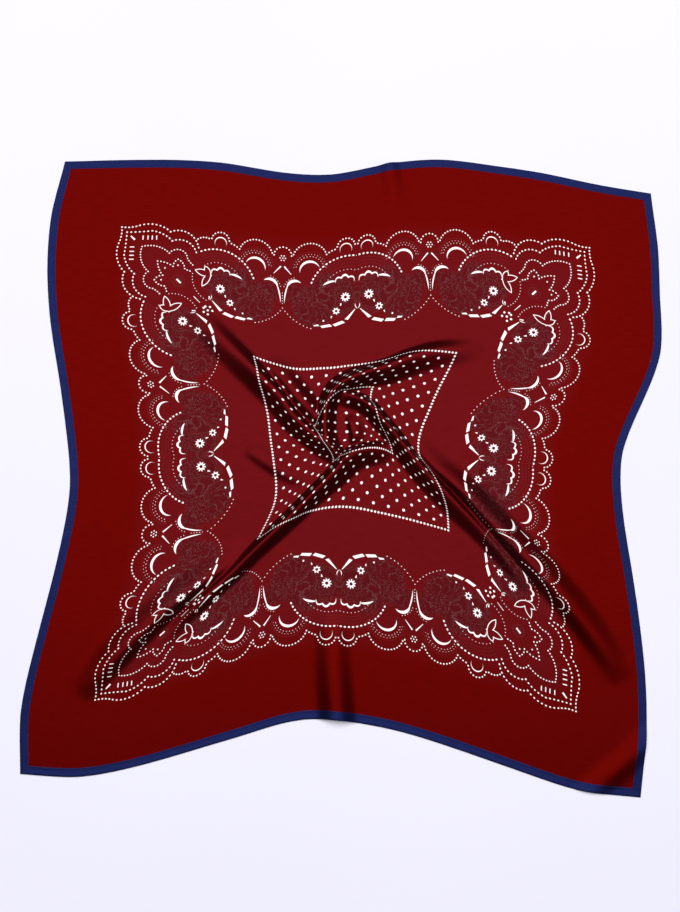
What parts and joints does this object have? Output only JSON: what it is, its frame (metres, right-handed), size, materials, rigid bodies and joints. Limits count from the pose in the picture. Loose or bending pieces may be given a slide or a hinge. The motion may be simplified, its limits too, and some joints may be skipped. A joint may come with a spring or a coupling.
{
  "type": "silk square scarf",
  "caption": "Square silk scarf laid flat with its middle gathered into a low twist, soft folds running out to the corners and a narrow turned hem along each side.",
  "frame": {"origin": "middle of the laid scarf's footprint, on the surface it lies on", "axes": "+X across the scarf, +Y up the scarf as it is seen from above, +Z away from the surface"},
  "size_m": [0.9244, 0.9319, 0.0182],
  "materials": {
    "silk_red": "dark red silk satin, printed with white dots and paisleys",
    "silk_navy": "navy silk satin, turned and stitched as a narrow hem"
  },
  "bodies": {
    "root": {"panel": "silk_red", "hem_north": "silk_navy", "hem_east": "silk_navy", "hem_south": "silk_navy", "hem_west": "silk_navy"}
  },
  "joints": []
}
